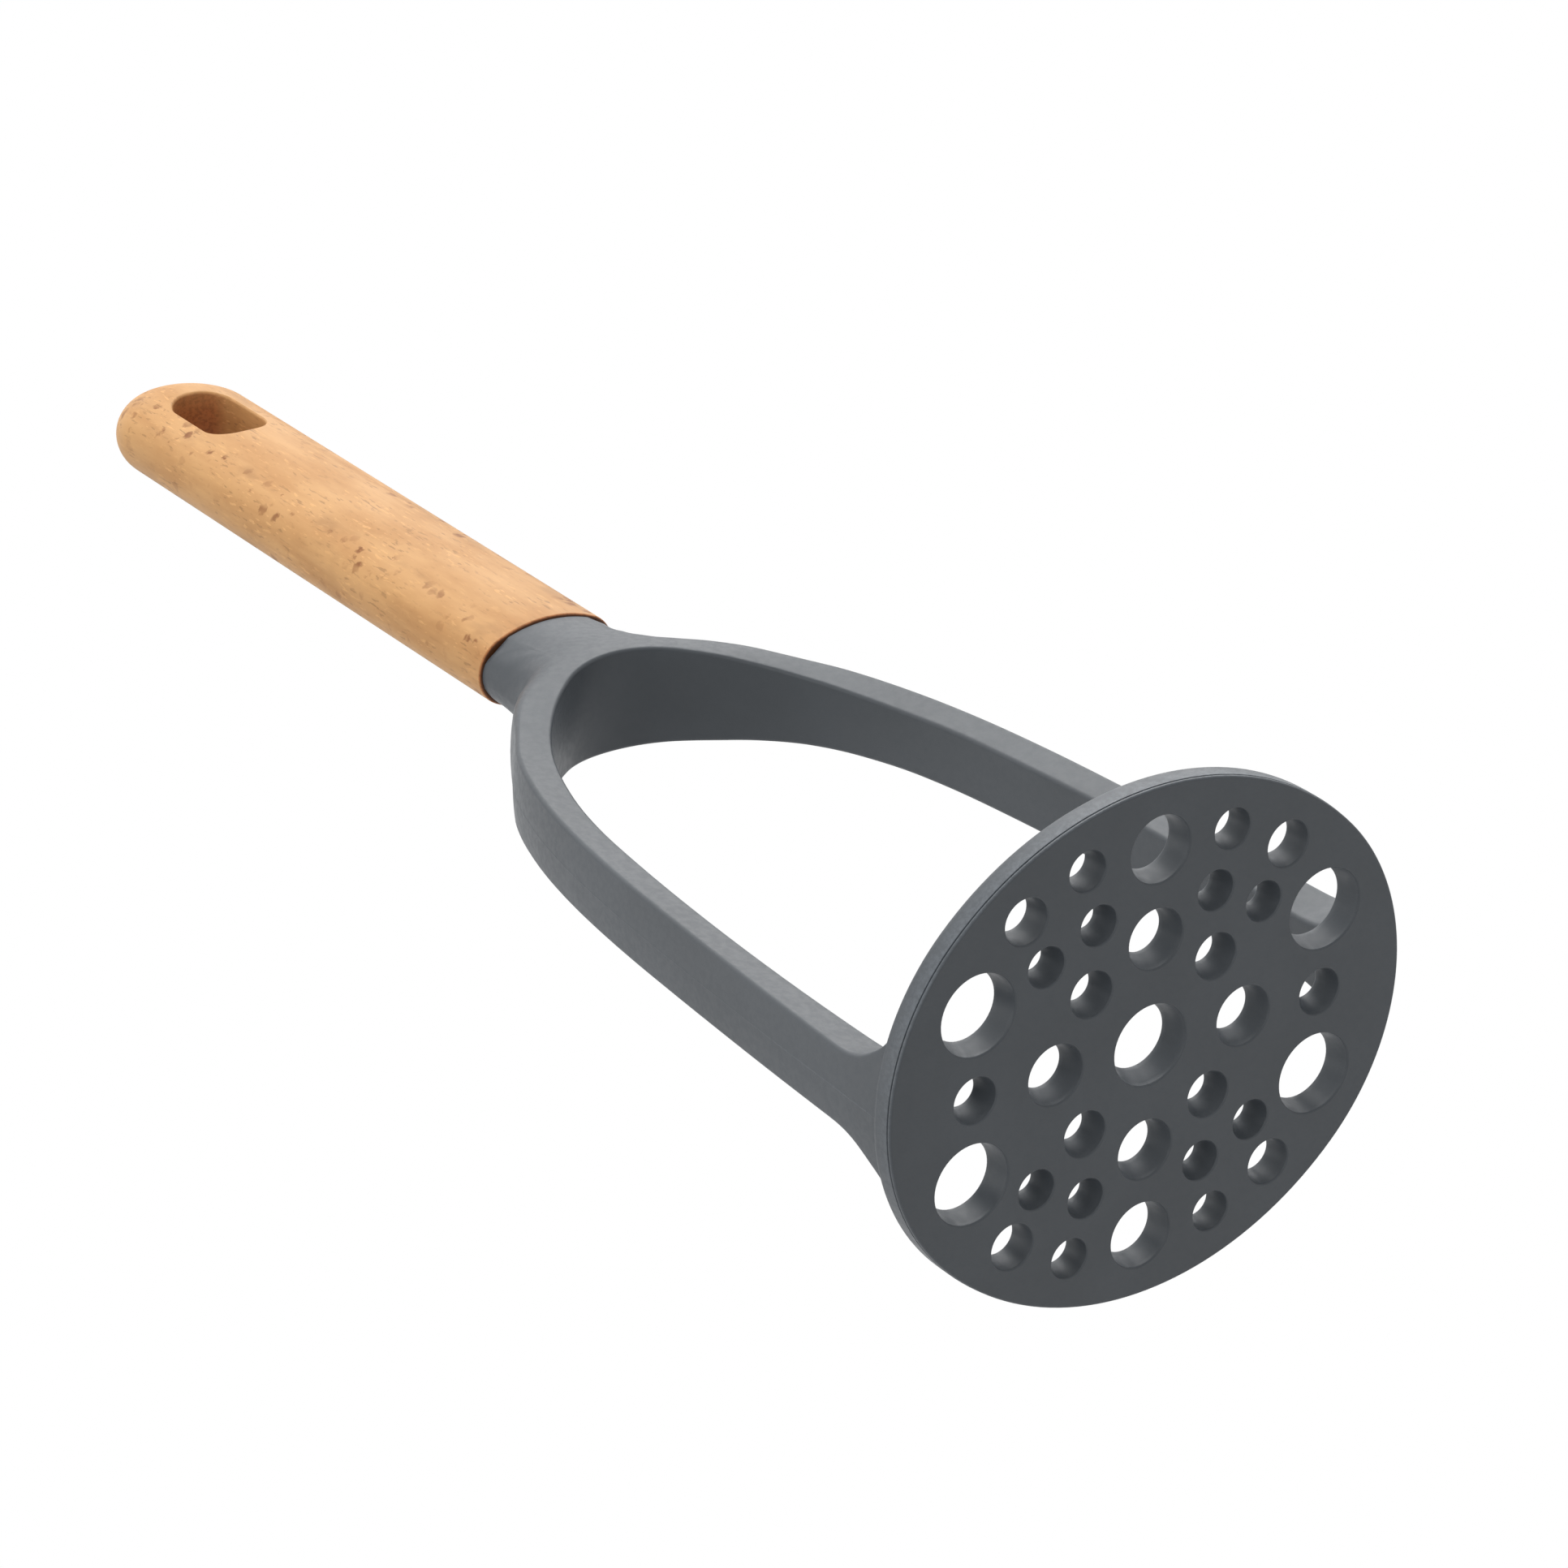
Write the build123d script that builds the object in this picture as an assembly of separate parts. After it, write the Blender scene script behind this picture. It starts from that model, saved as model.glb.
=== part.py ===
from build123d import *
import os
from math import sqrt

# A potato masher: a nylon head with an oval perforated plate, a hoop and a neck,
# glued by its ribbed tang into a beech handle.
# It stands on the mashing face: the origin is the centre of that face, +Z runs up the handle,
# and the two legs rise from the plate's long ends at +X and -X.

# Driving dimensions in millimetres
plate_half_length = 42.5
plate_half_width = 37.9
plate_thickness = 4.0
plate_front_radius = 1.1
plate_back_radius = 1.0
rim_setback = 0.08
large_hole = 11.8
outer_hole = 9.7
inner_hole = 8.8
small_hole = 6.7
fine_hole = 5.8
joint_height = 146.3
hoop_half_depth = 5.8
hoop_thickness = 5.5
hoop_lean = 1.1
crown_half_depth = 8.4
crown_edge_half_depth = 6.9
crown_drop = 17.9
foot_half_depth = 11.2
foot_height = 11.5
foot_lean = 3.2
flat_crown = 0.05
neck_half_width = 11.4
neck_half_depth = 6.7
neck_side_radius = 5.6
handle_top = 264.8
handle_half_width = 11.9
handle_half_depth = 7.1
handle_side_radius = 5.8
slot_length = 18.3
slot_width = 10.6
slot_top_radius = 4.8
slot_low_radius = 4.6
slot_end_distance = 12.3
slot_edge_chamfer = 0.6
bore_radius = 4.7
bore_depth = 54.0
drill_point_depth = 2.7
tang_radius = 4.0
tang_length = 50.0
tang_rib_height = 0.45
tang_rib_width = 1.5
tang_rib_count = 6
tang_rib_end_distance = 4.0
tang_tip_chamfer = 1.0
glue_clearance = 0.05
overrun = 5.0

# The plate's end radius: how far it falls short of the half width, as a share of what the
# plate is longer than wide, so that the oval stays one for any two half sizes
plate_side_share = 17 / 23
plate_side_radius = plate_half_width - plate_side_share * (plate_half_length - plate_half_width)

# Hole places in one quadrant, as shares of the plate's half length and half width;
# the rest are mirrored
large_hole_shares = ((0.0, 0.0), (0.677, 0.3274))
outer_hole_shares = ((0.0, 0.757),)
inner_hole_shares = ((0.0, 0.4133), (0.3686, 0.0))
small_hole_shares = ((0.243, 0.2725), (0.677, 0.0), (0.509, 0.6313))
fine_hole_shares = ((0.228, 0.5332), (0.424, 0.4329), (0.281, 0.7553))

# Head stations above the foot: share of the height from plate to joint, share of the width
# from neck to plate, share of the way from the leg's depth to the crown's, share of the way
# from the hoop's section to the neck's, and share of the full lean of the side faces
station_shares = (
    (0.1687, 0.962, 0.0, 0.0, 1.0), (0.260, 0.9365, 0.0, 0.0, 1.0), (0.3514, 0.9075, 0.0, 0.0, 1.0),
    (0.4427, 0.8736, 0.0, 0.0, 1.0), (0.534, 0.8253, 0.0, 0.0, 1.0), (0.6184, 0.7576, 0.0, 0.0, 1.0),
    (0.6887, 0.6705, 0.04, 0.0, 0.8), (0.7449, 0.5706, 0.15, 0.0, 0.5),
    (0.7941, 0.436, 0.42, 0.0, 0.2), (0.8363, 0.322, 0.72, 0.02, -0.1),
    (0.8714, 0.192, 0.93, 0.07, -0.45), (0.8995, 0.074, 1.0, 0.2, -0.6),
    (0.9276, 0.012, 1.0, 0.5, -0.6), (0.959, 0.0, 1.0, 0.86, -0.6), (1.0, 0.0, 1.0, 1.0, -0.6),
)
# The foot's rise: share of its height, each with the cube of what is left as its spread
foot_rise_shares = (0.0, 0.15, 0.35, 0.62, 1.0)

# The opening between the legs: where its arcs meet, from the crown down, as shares of the
# plate's half length and of the crown's height, and how far out it meets the plate
arc_end_shares = ((0.2304, 0.9739), (0.5956, 0.8096), (0.7327, 0.6242))
opening_floor_share = 0.811


def oval(half_width, half_depth, side_radius, half=False):
    # Four arcs, each tangent to the next: two crowned sides and two round ends
    reach = half_width - side_radius
    crown_radius = (reach ** 2 + half_depth ** 2 - side_radius ** 2) / (
        2 * (half_depth - side_radius))
    span = crown_radius - side_radius
    x = reach + reach / span * side_radius
    y = (crown_radius - half_depth) / span * side_radius
    if half:
        middle = (crown_radius * sin_half(x / crown_radius),
                  half_depth - crown_radius * (1 - cos_half(x / crown_radius)))
        return [
            ThreePointArc((0, half_depth), middle, (x, y)),
            ThreePointArc((x, y), (half_width, 0), (x, -y)),
            ThreePointArc((x, -y), (middle[0], -middle[1]), (0, -half_depth)),
            Line((0, -half_depth), (0, half_depth)),
        ]
    return four_arcs(half_width, half_depth, x, y)


def cos_half(sine):
    # The cosine of half the angle with this sine
    return sqrt((1 + sqrt(1 - sine * sine)) / 2)


def sin_half(sine):
    # The sine of half the angle with this sine
    return sqrt((1 - sqrt(1 - sine * sine)) / 2)


def four_arcs(half_width, half_depth, x, y):
    # Arcs through the four corners at x and y, crowned to the full width and depth
    return [
        ThreePointArc((-x, y), (0, half_depth), (x, y)),
        ThreePointArc((x, y), (half_width, 0), (x, -y)),
        ThreePointArc((x, -y), (0, -half_depth), (-x, -y)),
        ThreePointArc((-x, -y), (-half_width, 0), (-x, y)),
    ]


def oval_corner(half_width, half_depth, side_radius):
    # Where the crowned side of an oval meets its round end
    arcs = oval(half_width, half_depth, side_radius)
    corner = arcs[0] @ 1
    return corner.X, corner.Y


def blend(start, finish, share):
    return start + (finish - start) * share


def level(height_share):
    return blend(plate_thickness, joint_height, height_share)


def half_width_at(width_share):
    return blend(neck_half_width, plate_half_length - rim_setback, width_share)


def depth_at(crown_share, neck_share):
    hoop = blend(hoop_half_depth, crown_half_depth, crown_share)
    return blend(hoop, neck_half_depth, neck_share)


def edge_depth_at(crown_share, neck_share):
    neck_y = oval_corner(neck_half_width, neck_half_depth, neck_side_radius)[1]
    hoop = blend(hoop_half_depth, crown_edge_half_depth, crown_share)
    return blend(hoop, neck_y, neck_share)


def head_section(height_share, width_share, neck_share, half_depth, edge_depth):
    # One level of the head's outside, between the hoop's section and the neck's
    half_width = half_width_at(width_share)
    rim_inset = plate_side_radius - sqrt(plate_side_radius ** 2 - edge_depth ** 2)
    neck_x = oval_corner(neck_half_width, neck_half_depth, neck_side_radius)[0]
    inset = blend(rim_inset, neck_half_width - neck_x, neck_share)
    arcs = four_arcs(half_width, half_depth, half_width - inset, edge_depth)
    return Plane.XY.offset(level(height_share)) * make_face(arcs)


def foot_stations():
    # The flared foot: height, width, half depth at the outer edge and how far the side face leans
    foot_share = foot_height / (joint_height - plate_thickness)
    first_height, first_width = station_shares[0][:2]
    rows = []
    for rise in foot_rise_shares:
        spread = (1 - rise) ** 3
        depth = blend(hoop_half_depth, foot_half_depth, spread)
        width = blend(1, first_width, rise * foot_share / first_height)
        rows.append((rise * foot_share, width, depth, blend(hoop_lean, foot_lean, spread)))
    return rows


def head_outside():
    # The legs, hoop, shoulders and neck as one closed lump, still without its opening
    sections = []
    for height, width, depth, lean in foot_stations():
        sections.append(head_section(height, width, 0, depth + flat_crown, depth))
    for height, width, crown, neck, lean in station_shares:
        depth = depth_at(crown, neck)
        sections.append(head_section(height, width, neck, depth + flat_crown, edge_depth_at(crown, neck)))
    lump = loft(sections)
    seat = extrude(sections[0], amount=-(plate_thickness - plate_front_radius) / 2)
    return lump + seat


def hoop_opening():
    # Tangent arcs from the crown down each leg, cut straight through the hoop
    crown_height = joint_height - crown_drop
    spots = [(x * plate_half_length, z * crown_height) for x, z in arc_end_shares]
    spots.append((opening_floor_share * plate_half_length, plate_thickness))
    edges = []
    for side in (1, -1):
        start = (0, crown_height)
        heading = (side, 0)
        for x, z in spots:
            arc = TangentArc(start, (side * x, z), tangent=heading)
            edges.append(arc)
            start = (side * x, z)
            heading = arc % 1
    floor = opening_floor_share * plate_half_length
    edges.append(Line((-floor, plate_thickness), (floor, plate_thickness)))
    reach = foot_half_depth + overrun
    return extrude(Plane.XZ.offset(-reach) * make_face(edges), amount=2 * reach)


def relief_section(side, height, edge, depth, lean):
    # A trough at one level that leaves the side face its depth at the outer edge
    reach = plate_half_length + overrun
    slope = lean / hoop_thickness
    centre = depth - slope * edge
    rim = depth + slope * (reach - edge)
    outline = Polyline(
        (-reach, side * rim), (0, side * centre), (reach, side * rim),
        (reach, side * (reach + foot_half_depth)), (-reach, side * (reach + foot_half_depth)), close=True)
    return Plane.XY.offset(level(height)) * make_face(outline)


def side_relief(side):
    # What leans the hoop's side face in from its outer edge to its inner edge
    sections = []
    for height, width, depth, lean in foot_stations():
        sections.append(relief_section(side, height, half_width_at(width), depth, lean))
    for height, width, crown, neck, lean in station_shares[:-3]:
        if lean > 0:
            depth = edge_depth_at(crown, neck)
            sections.append(relief_section(side, height, half_width_at(width), depth, lean * hoop_lean))
        else:
            depth = depth_at(crown, neck) - lean * hoop_lean
            sections.append(relief_section(side, height, half_width_at(width), depth, 0))
    return loft(sections, ruled=True)


def plate_blank():
    plate = extrude(make_face(oval(plate_half_length, plate_half_width, plate_side_radius)),
                    amount=plate_thickness)
    plate = fillet(plate.faces().sort_by(Axis.Z)[-1].edges(), plate_back_radius)
    return fillet(plate.faces().sort_by(Axis.Z)[0].edges(), plate_front_radius)


def mirrored(places):
    # The four mirror images of each place, each only once
    found = []
    for x, y in places:
        for spot in ((x, y), (-x, y), (x, -y), (-x, -y)):
            if spot not in found:
                found.append(spot)
    return found


def mash_hole(diameter):
    return Cylinder(diameter / 2, plate_thickness + overrun,
                    align=(Align.CENTER, Align.CENTER, Align.MIN))


def mash_holes():
    tools = []
    for diameter, shares in (
        (large_hole, large_hole_shares), (outer_hole, outer_hole_shares),
        (inner_hole, inner_hole_shares), (small_hole, small_hole_shares),
        (fine_hole, fine_hole_shares),
    ):
        for x, y in mirrored(shares):
            tools.append(Pos(x * plate_half_length, y * plate_half_width, 0) * mash_hole(diameter))
    return tools


def tang():
    # A round stem with ribs along it, chamfered at its tip
    stem = Pos(0, 0, joint_height) * Cylinder(
        tang_radius, tang_length, align=(Align.CENTER, Align.CENTER, Align.MIN))
    stem = chamfer(stem.edges().sort_by(Axis.Z)[-1], tang_tip_chamfer)
    rib_length = tang_length - 2 * tang_rib_end_distance
    rib_reach = tang_radius + tang_rib_height
    for turn in range(tang_rib_count):
        rib = Pos(rib_reach / 2, 0, joint_height + tang_rib_end_distance) * Box(
            rib_reach, tang_rib_width, rib_length, align=(Align.CENTER, Align.CENTER, Align.MIN))
        stem += Rot(0, 0, 360 * turn / tang_rib_count) * rib
    return stem


def masher_head():
    frame = head_outside() - hoop_opening() - side_relief(1) - side_relief(-1)
    head = plate_blank() + frame
    head = head - mash_holes()
    return head + tang()


def handle_body():
    # A straight oval grip whose far end is its half section turned through half a circle
    turn_height = handle_top - handle_half_width
    section = make_face(oval(handle_half_width, handle_half_depth, handle_side_radius))
    grip = extrude(Plane.XY.offset(joint_height) * section, amount=turn_height - joint_height)
    half = make_face(oval(handle_half_width, handle_half_depth, handle_side_radius, half=True))
    end = revolve(Plane.XY.offset(turn_height) * half, Axis((0, 0, turn_height), (0, 1, 0)), -180)
    return grip + end


def hanging_slot():
    top = handle_top - slot_end_distance
    low = top - slot_length
    half = slot_width / 2
    outline = Polyline((-half, low), (half, low), (half, top), (-half, top), close=True)
    face = make_face(outline)
    face = fillet(face.vertices().sort_by(Axis.Y)[:2], slot_low_radius)
    face = fillet(face.vertices().sort_by(Axis.Y)[-2:], slot_top_radius)
    reach = handle_half_depth + overrun
    return extrude(Plane.XZ.offset(-reach) * face, amount=2 * reach)


def tang_bore():
    # A drilled blind bore with its cone-shaped end
    bore = Pos(0, 0, joint_height) * Cylinder(
        bore_radius, bore_depth, align=(Align.CENTER, Align.CENTER, Align.MIN))
    point = Pos(0, 0, joint_height + bore_depth) * Cone(
        bore_radius, 0, drill_point_depth, align=(Align.CENTER, Align.CENTER, Align.MIN))
    return bore + point


def handle():
    body = handle_body() - hanging_slot()
    high = handle_top - slot_end_distance + slot_edge_chamfer
    low = handle_top - slot_end_distance - slot_length - slot_edge_chamfer
    mouths = [e for e in body.edges().filter_by_position(Axis.Z, low, high)
              if abs(e.center().Y) > handle_half_depth / 2]
    body = chamfer(mouths, slot_edge_chamfer)
    return body - tang_bore()


def adhesive_sleeve():
    # The cured glue fills the bore round the tang
    sleeve = Pos(0, 0, joint_height + glue_clearance) * Cylinder(
        bore_radius - glue_clearance, tang_length, align=(Align.CENTER, Align.CENTER, Align.MIN))
    return sleeve - tang()


def main():
    os.makedirs("parts", exist_ok=True)
    parts = {
        "masher_head": masher_head(),
        "handle": handle(),
        "adhesive_sleeve": adhesive_sleeve(),
    }
    for name, shape in parts.items():
        shape.label = name
        export_step(shape, "parts/" + name + ".step")
        box = shape.bounding_box()
        print(name, "solids", len(shape.solids()), "volume", round(shape.volume, 1), "valid", shape.is_valid,
              "box", [round(v, 2) for v in (*box.min, *box.max)])


if __name__ == "__main__":
    main()
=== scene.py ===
from math import asin, atan2, cos, hypot, pi, radians, sin, sqrt, tan

import bmesh
import bpy
from bpy.props import FloatProperty, FloatVectorProperty, IntProperty, PointerProperty
from bpy.types import Operator, Panel, PropertyGroup
from mathutils import Matrix, Vector


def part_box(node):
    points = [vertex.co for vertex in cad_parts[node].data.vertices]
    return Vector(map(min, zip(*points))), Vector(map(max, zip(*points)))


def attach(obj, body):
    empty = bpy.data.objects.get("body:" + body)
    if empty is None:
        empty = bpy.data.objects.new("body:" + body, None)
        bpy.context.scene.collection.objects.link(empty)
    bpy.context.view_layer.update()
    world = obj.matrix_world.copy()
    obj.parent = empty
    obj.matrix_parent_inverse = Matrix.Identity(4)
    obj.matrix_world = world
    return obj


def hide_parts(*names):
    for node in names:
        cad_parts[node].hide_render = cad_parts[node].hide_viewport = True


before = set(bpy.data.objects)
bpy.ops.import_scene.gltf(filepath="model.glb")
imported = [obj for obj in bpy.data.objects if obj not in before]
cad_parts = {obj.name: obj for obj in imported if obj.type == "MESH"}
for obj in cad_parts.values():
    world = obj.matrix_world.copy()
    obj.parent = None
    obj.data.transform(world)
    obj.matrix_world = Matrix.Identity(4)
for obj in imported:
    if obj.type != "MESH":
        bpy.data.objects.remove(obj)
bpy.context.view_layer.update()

bl_info = {
    "name": "Potato masher",
    "version": (1, 0, 0),
    "blender": (4, 5, 0),
    "location": "View3D > Sidebar > Masher",
    "description": "Builds a nylon potato masher with a beech grip on its packed frame",
    "category": "Object",
}

HEAD_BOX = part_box("masher_head")
GRIP_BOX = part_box("handle")
MM = 0.001


# Sizes and colours that a user may change

def length(name, description, default):
    """A length, whose default is given in millimetres."""
    return FloatProperty(name=name, description=description, default=default * MM, unit="LENGTH",
                         subtype="DISTANCE", precision=5, min=0.0)


def colour(name, description, default):
    return FloatVectorProperty(name=name, description=description, default=default, size=3,
                               subtype="COLOR", min=0.0, max=1.0)


class PlateSizes(PropertyGroup):
    half_length: length("Half length", "Half of the plate's long axis", HEAD_BOX[1].x / MM)
    half_width: length("Half width", "Half of the plate's short axis", HEAD_BOX[1].y / MM)
    end_radius: length("End radius", "Radius of the oval's two long ends", 34.5)
    thickness: length("Thickness", "From the mashing face to the back", 4.0)
    front_radius: length("Front radius", "Rounding of the rim at the mashing face", 0.35)
    back_radius: length("Back radius", "Rounding of the rim at the back", 1.0)
    lip: length("Lip", "How far the rim's front lip lies inside the rest of the rim", 0.06)
    groove: length("Parting groove", "Depth of the mould's parting line behind the lip", 0.14)
    taper: length("Hole taper", "How much an outer hole's radius shrinks towards the back", 0.6)
    middle_taper: length("Middle hole taper", "The same in the plate's middle", 1.05)
    mouth_radius: length("Hole mouth", "Rounding of every hole's two mouths", 0.32)
    hole_sides: IntProperty(name="Hole sides", description="Facets round each hole",
                            default=56, min=12, max=128)


class HoopSizes(PropertyGroup):
    crown_height: length("Crown height", "Top of the opening between the legs", 128.4)
    joint_height: length("Joint height", "Where the neck meets the wood", GRIP_BOX[0].z / MM)
    leg_depth: length("Leg half depth", "Half of a leg's broad side", 5.8)
    leg_thickness: length("Leg thickness", "From a leg's inner face to its outer face", 5.5)
    lean: length("Side lean", "How much shallower a leg is at its inner edge", 1.1)
    crown_depth: length("Crown half depth", "Half depth at the middle of the crown", 8.4)
    crown_edge_depth: length("Crown edge half depth", "Half depth at the crown's outer edge", 6.9)
    foot_depth: length("Foot half depth", "Half depth where a leg meets the plate", 11.2)
    foot_height: length("Foot height", "How high the foot's flare reaches", 11.5)
    foot_lean: length("Foot lean", "How much shallower the foot is at its inner edge", 3.2)
    seam_height: length("Seam height", "How far the mould's seam on a leg stands out", 0.04)
    seam_half: length("Seam half width", "Half of the seam's width", 0.12)
    edge_round: length("Edge rounding", "Rounding of the legs' long edges", 0.75)
    neck_round: length("Neck rounding", "Rounding that the legs' long edges grow to at the neck", 5.5)
    root_fillet: length("Root fillet", "Fillet between a leg and the plate's back", 1.0)
    neck_half_width: length("Neck half width", "Half width of the neck", 11.4)
    neck_half_depth: length("Neck half depth", "Half depth of the neck", 6.7)
    neck_end_radius: length("Neck end radius", "Radius of the neck's two narrow ends", 5.6)


class TangSizes(PropertyGroup):
    radius: length("Radius", "Radius of the stem in the wood", 4.0)
    length: length("Length", "How far the stem reaches into the wood", 50.0)
    rib_height: length("Rib height", "How far each rib stands proud", 0.45)
    rib_width: length("Rib width", "Width of each rib", 1.5)
    rib_end: length("Rib end distance", "Plain stem above and below the ribs", 4.0)
    rib_count: IntProperty(name="Ribs", description="Ribs round the stem", default=6, min=2, max=16)


class GripSizes(PropertyGroup):
    half_width: length("Half width", "Half of the grip's width", GRIP_BOX[1].x / MM)
    half_depth: length("Half depth", "Half of the grip's thickness", GRIP_BOX[1].y / MM)
    side_radius: length("Side radius", "Radius of the grip's two narrow sides", 5.8)
    end_round: length("End rounding", "Rounding of the sawn end at the neck", 0.45)
    slot_width: length("Slot width", "Width of the hanging slot", 10.6)
    slot_length: length("Slot length", "Length of the hanging slot", 18.3)
    slot_end: length("Slot end distance", "Wood between the slot and the grip's end", 12.3)
    slot_top_radius: length("Slot top radius", "Corner radius nearest the end", 4.8)
    slot_low_radius: length("Slot low radius", "Corner radius nearest the neck", 4.6)
    slot_mouth: length("Slot mouth", "Rounding of the slot's mouths", 0.55)
    bore_radius: length("Bore radius", "Radius of the bore for the tang", 4.7)
    bore_depth: length("Bore depth", "Depth of the bore for the tang", 54.0)
    drill_point: length("Drill point", "Height of the bore's cone", 2.7)


class Finish(PropertyGroup):
    nylon: colour("Nylon", "Moulded nylon of the head", (0.0605, 0.0690, 0.0785))
    nylon_roughness: FloatProperty(name="Nylon roughness", description="Roughness of the moulding",
                                   default=0.44, min=0.0, max=1.0, subtype="FACTOR")
    beech: colour("Beech", "Main tone of the grip", (0.62, 0.345, 0.14))
    beech_dark: colour("Beech late wood", "Darker bands along the grain", (0.51, 0.262, 0.098))
    fleck: colour("Ray flecks", "Short brown flecks across the grain", (0.24, 0.085, 0.02))
    cut: colour("Cut wood", "Walls of the slot and the sawn end", (0.44, 0.155, 0.05))
    glue: colour("Glue", "Cured adhesive in the bore", (0.55, 0.45, 0.30))
    floor: colour("Floor", "Pale floor under the masher", (0.86, 0.86, 0.86))


# Hole places in one quadrant, as shares of the plate's half length and half width
HOLES = (
    (5.9, ((0.0, 0.0), (0.677, 0.3274))),
    (4.85, ((0.0, 0.757),)),
    (4.4, ((0.0, 0.4133), (0.3686, 0.0))),
    (3.35, ((0.243, 0.2725), (0.677, 0.0), (0.509, 0.6313))),
    (2.9, ((0.228, 0.5332), (0.424, 0.4329), (0.281, 0.7553))),
)

# The hoop's outside at a few heights above the foot: height, half width, share of the way from
# the leg's depth to the crown's, share of the way from the hoop to the neck, share of the lean
STATIONS = (
    (28.0, 41.24, 0.0, 0.0, 1.0), (41.0, 40.45, 0.0, 0.0, 1.0), (54.0, 39.55, 0.0, 0.0, 1.0),
    (67.0, 38.5, 0.0, 0.0, 1.0), (80.0, 37.0, 0.0, 0.0, 1.0), (92.0, 34.9, 0.0, 0.0, 1.0),
    (102.0, 32.2, 0.04, 0.0, 0.8), (110.0, 29.1, 0.15, 0.0, 0.5), (117.0, 24.92, 0.42, 0.0, 0.2),
    (123.0, 21.39, 0.72, 0.02, -0.1), (128.0, 17.36, 0.93, 0.07, -0.45),
    (132.0, 13.70, 1.0, 0.2, -0.6), (136.0, 11.77, 1.0, 0.5, -0.6),
    (140.5, 11.4, 1.0, 0.86, -0.6), (146.3, 11.4, 1.0, 1.0, -0.6),
)

# Where the opening's arcs meet, from the crown down, and where it meets the plate, in millimetres
ARC_ENDS = ((9.79, 125.05), (25.31, 103.95), (31.14, 80.15), (34.47, 4.0))

# Height of the point that the crown's sections turn about, in millimetres
TURN_AT = 75.0

# A drill's rings to each side of the plate's middle: along the wall, round the mouth, past the face
WALL_RINGS = 3
MOUTH_RINGS = 7
PAST_RINGS = 2

# How far a mouth rolls out, in degrees: a hole's and the slot's
HOLE_MOUTH_TURN = 65
SLOT_MOUTH_TURN = 66

# The strength of the world's light; its white for the camera and for reflections is 1
SOFT_LIGHT = 0.5

# The lamps: name, the way to it from the masher's middle, distance and width in metres, power in watts
LAMP_AIM = (0.0, 0.0, 0.11)
LAMPS = (
    ("top_softbox", (-0.2, 0.95, 0.4), 0.6, 0.5, 2.1),
    ("high_softbox", (0.45, 0.65, 0.6), 0.9, 0.7, 1.2),
    ("far_softbox", (-0.6, 0.5, 0.62), 0.9, 0.7, 2.3),
    ("side_fill", (1.0, 0.3, -0.3), 0.9, 0.7, 1.5),
    ("left_fill", (0.9, 0.0, 0.45), 0.9, 0.7, 1.4),
    ("end_fill", (0.0, 0.45, 0.9), 0.9, 0.7, 0.8),
)

# The photograph's camera: where it stands, the point that it looks at, how far it is rolled from
# upright in degrees, and its lens on a sensor 36 mm wide
CAMERA_PLACE = (0.4533, 0.3725, -0.5494)
CAMERA_AIM = (0.0, 0.00426, 0.08458)
CAMERA_ROLL = -57.716
CAMERA_LENS = 139.6


# Curves

def blend(a, b, share):
    return a + (b - a) * share


def clamp(value, low=0.0, high=1.0):
    return max(low, min(high, value))


def rounding(radius, steps, turn=pi / 2):
    """How far to one side and how deep each point of a rounding lies."""
    angles = [turn * i / steps for i in range(steps + 1)]
    return [(radius * (1 - cos(a)), radius * (1 - sin(a))) for a in angles]


def smooth_rows(rows, at):
    """Reads a table of rows at a height, through a smooth curve that never overshoots."""
    if at <= rows[0][0]:
        return rows[0][1:]
    if at >= rows[-1][0]:
        return rows[-1][1:]
    k = next(i for i in range(1, len(rows)) if at <= rows[i][0])

    def rise(i, c):
        return (rows[i][c] - rows[i - 1][c]) / (rows[i][0] - rows[i - 1][0])

    def slope(i, c):
        if i == 0 or i == len(rows) - 1:
            return rise(max(i, 1), c)
        before, after = rise(i, c), rise(i + 1, c)
        if before * after <= 0:
            return 0.0
        return 2 * before * after / (before + after)

    span = rows[k][0] - rows[k - 1][0]
    t = (at - rows[k - 1][0]) / span
    found = []
    for c in range(1, len(rows[0])):
        a, b = rows[k - 1][c], rows[k][c]
        found.append((2 * t ** 3 - 3 * t ** 2 + 1) * a + (t ** 3 - 2 * t ** 2 + t) * span * slope(k - 1, c)
                     + (3 * t ** 2 - 2 * t ** 3) * b + (t ** 3 - t ** 2) * span * slope(k, c))
    return found


def oval_corner(half_width, half_depth, end_radius):
    """Where an oval's crowned side meets its round end, and the radius of that side."""
    reach = half_width - end_radius
    side = (reach ** 2 + half_depth ** 2 - end_radius ** 2) / (2 * (half_depth - end_radius))
    span = side - end_radius
    return reach + reach / span * end_radius, (side - half_depth) / span * end_radius, side


def oval_points(half_width, half_depth, end_radius, side_steps, end_steps):
    """One right half of a four-arc oval from its top to its bottom, each point with its normal."""
    corner_x, _, side = oval_corner(half_width, half_depth, end_radius)
    turn = asin(corner_x / side)
    points = []
    for i in range(side_steps):
        a = turn * i / side_steps
        points.append((side * sin(a), half_depth - side + side * cos(a), sin(a), cos(a)))
    for i in range(end_steps + 1):
        a = blend(pi / 2 - turn, turn - pi / 2, i / end_steps)
        points.append((half_width - end_radius + end_radius * cos(a), end_radius * sin(a), cos(a), sin(a)))
    for i in range(side_steps - 1, -1, -1):
        a = turn * i / side_steps
        points.append((side * sin(a), side - half_depth - side * cos(a), sin(a), -cos(a)))
    return points


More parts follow.
